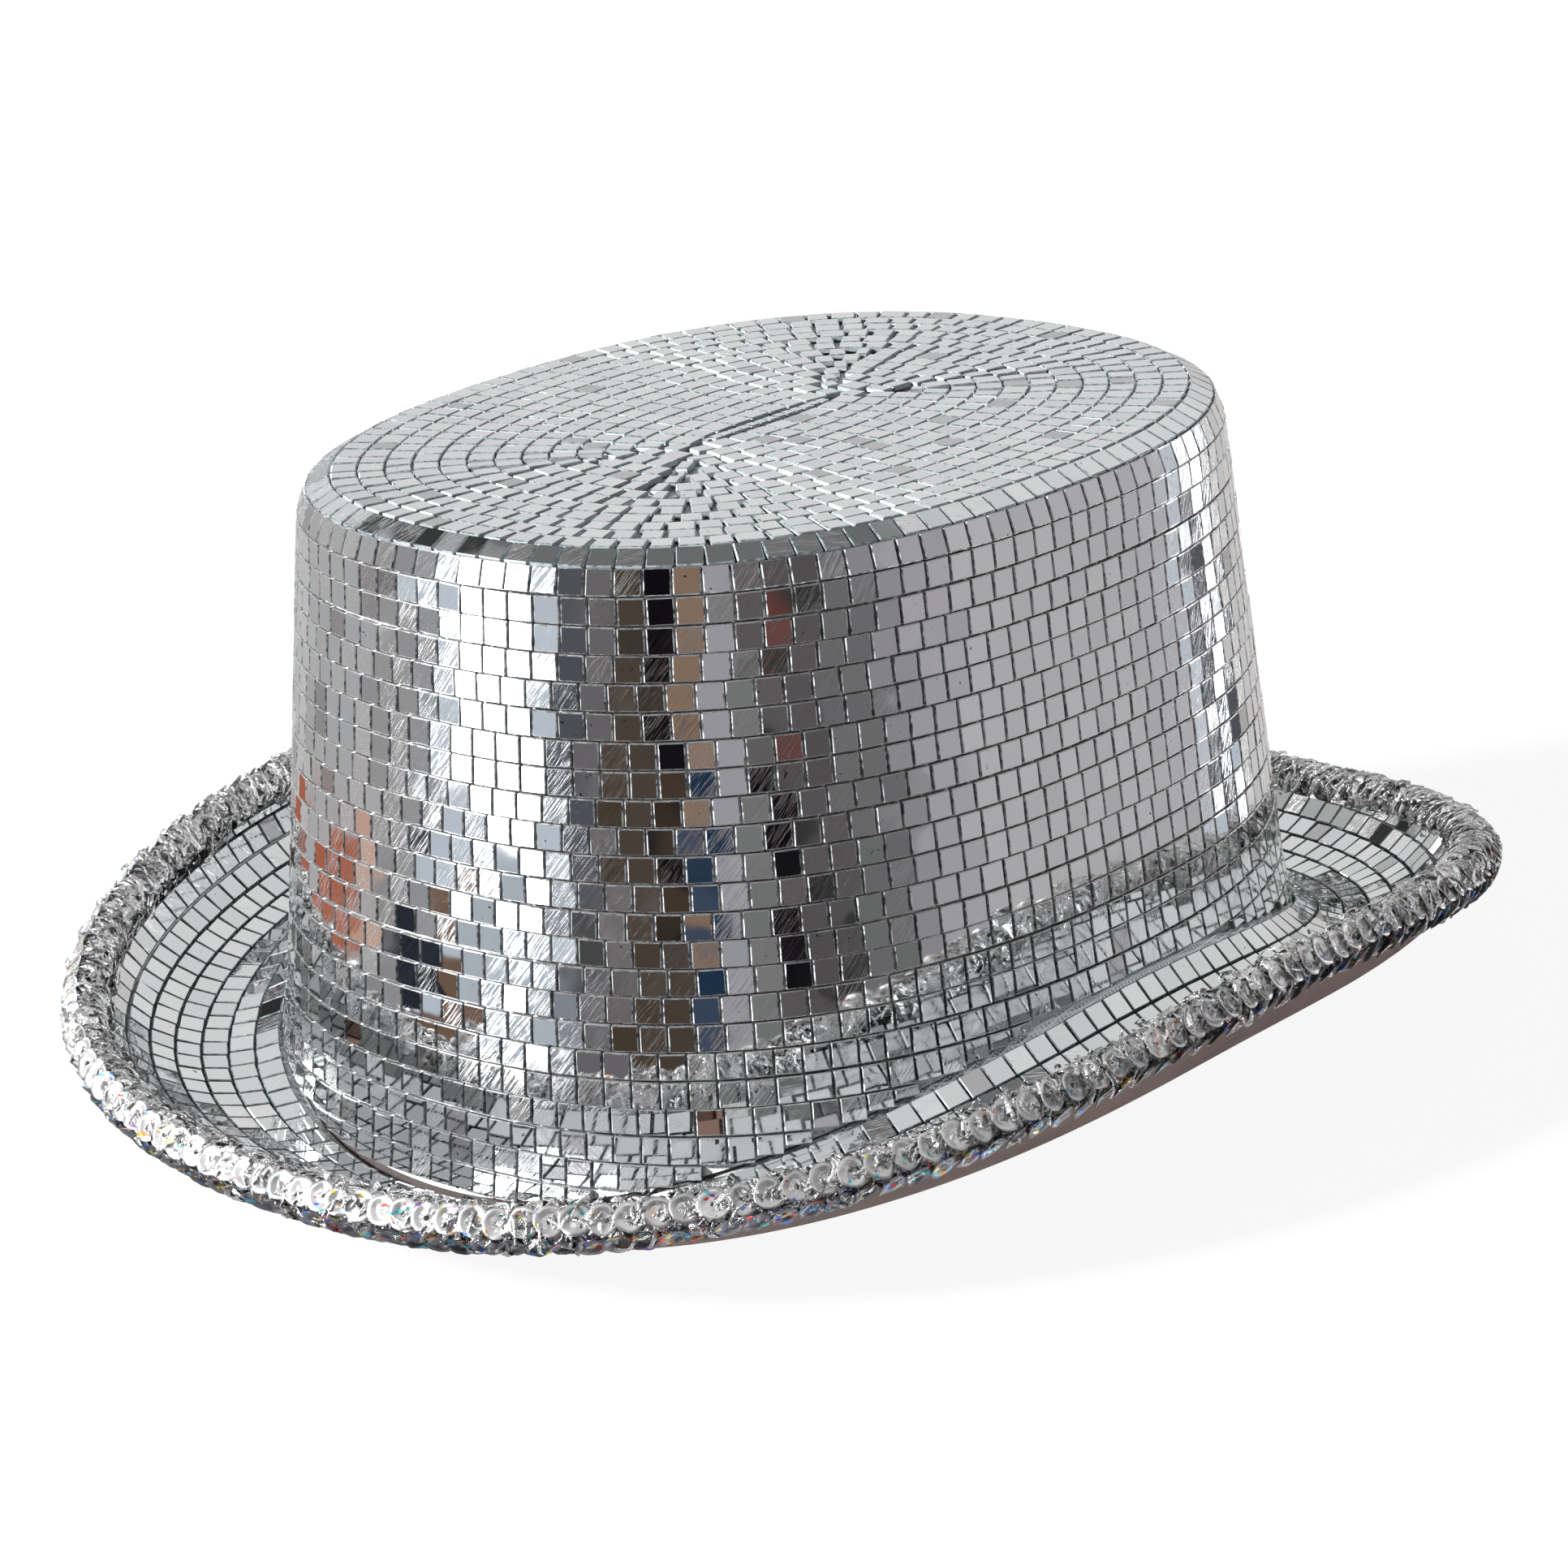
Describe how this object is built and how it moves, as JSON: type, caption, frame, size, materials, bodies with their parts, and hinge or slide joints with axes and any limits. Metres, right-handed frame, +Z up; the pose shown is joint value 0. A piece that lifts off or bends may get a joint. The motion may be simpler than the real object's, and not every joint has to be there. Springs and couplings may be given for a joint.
{
  "type": "party hat",
  "caption": "Short oval top hat for a new year party, with a curled brim, covered in small glass mirror tiles and edged with tinsel braid and cup sequins.",
  "frame": {"origin": "centre of the bounding box in plan, at the level of the lowest felt under the brim", "axes": "+Z up through the crown, -Y towards the front of the hat, X across it from side to side, the oval's long axis along Y"},
  "size_m": [0.2468, 0.283, 0.124],
  "materials": {
    "mirror_glass": "1 mm float glass, silvered behind, pale green cut edges",
    "stiff_felt": "stiffened felt, matt",
    "under_felt": "smooth brown-grey felt",
    "lining_cloth": "thin satin lining",
    "sweatband_cloth": "ribbed cotton ribbon",
    "thread": "polyester sewing thread",
    "backing_cloth": "pale woven backing of the tile strips",
    "tape": "grey cotton tape",
    "tinsel": "metallised film, crinkled",
    "sequin_film": "metallised film with a rainbow sheen"
  },
  "bodies": {
    "root": {"brim_board": "stiff_felt", "brim_cloth": "backing_cloth", "brim_tiles_row_1": "mirror_glass", "brim_tiles_row_2": "mirror_glass", "brim_tiles_row_3": "mirror_glass", "brim_tiles_row_4": "mirror_glass", "brim_tiles_row_5": "mirror_glass", "brim_tiles_row_6": "mirror_glass", "brim_tiles_row_7": "mirror_glass", "brim_tiles_row_8": "mirror_glass", "brim_under_felt": "under_felt", "crown_lining_side": "lining_cloth", "crown_lining_tip": "lining_cloth", "crown_side_body": "stiff_felt", "crown_side_cloth": "backing_cloth", "crown_tiles_row_01": "mirror_glass", "crown_tiles_row_02": "mirror_glass", "crown_tiles_row_03": "mirror_glass", "crown_tiles_row_04": "mirror_glass", "crown_tiles_row_05": "mirror_glass", "crown_tiles_row_06": "mirror_glass", "crown_tiles_row_07": "mirror_glass", "crown_tiles_row_08": "mirror_glass", "crown_tiles_row_09": "mirror_glass", "crown_tiles_row_10": "mirror_glass", "crown_tiles_row_11": "mirror_glass", "crown_tiles_row_12": "mirror_glass", "crown_tiles_row_13": "mirror_glass", "crown_tiles_row_14": "mirror_glass", "crown_tiles_row_15": "mirror_glass", "crown_tiles_row_16": "mirror_glass", "crown_tiles_row_17": "mirror_glass", "crown_tiles_row_18": "mirror_glass", "crown_tiles_row_19": "mirror_glass", "crown_tiles_row_20": "mirror_glass", "crown_tiles_row_21": "mirror_glass", "crown_tiles_row_22": "mirror_glass", "crown_tiles_row_23": "mirror_glass", "crown_tip_body": "stiff_felt", "edge_binding": "tape", "sequins_lower_row": "sequin_film", "sequins_upper_row": "sequin_film", "shoulder_cloth": "backing_cloth", "shoulder_tiles": "mirror_glass", "sweatband": "sweatband_cloth", "sweatband_join_patch": "sweatband_cloth", "sweatband_stitches": "thread", "tinsel_braid": "tinsel", "tip_cloth": "backing_cloth", "tip_joint_tape": "tape", "tip_tiles_inner_rings": "mirror_glass", "tip_tiles_middle_rings": "mirror_glass", "tip_tiles_outer_rings": "mirror_glass"}
  },
  "joints": []
}
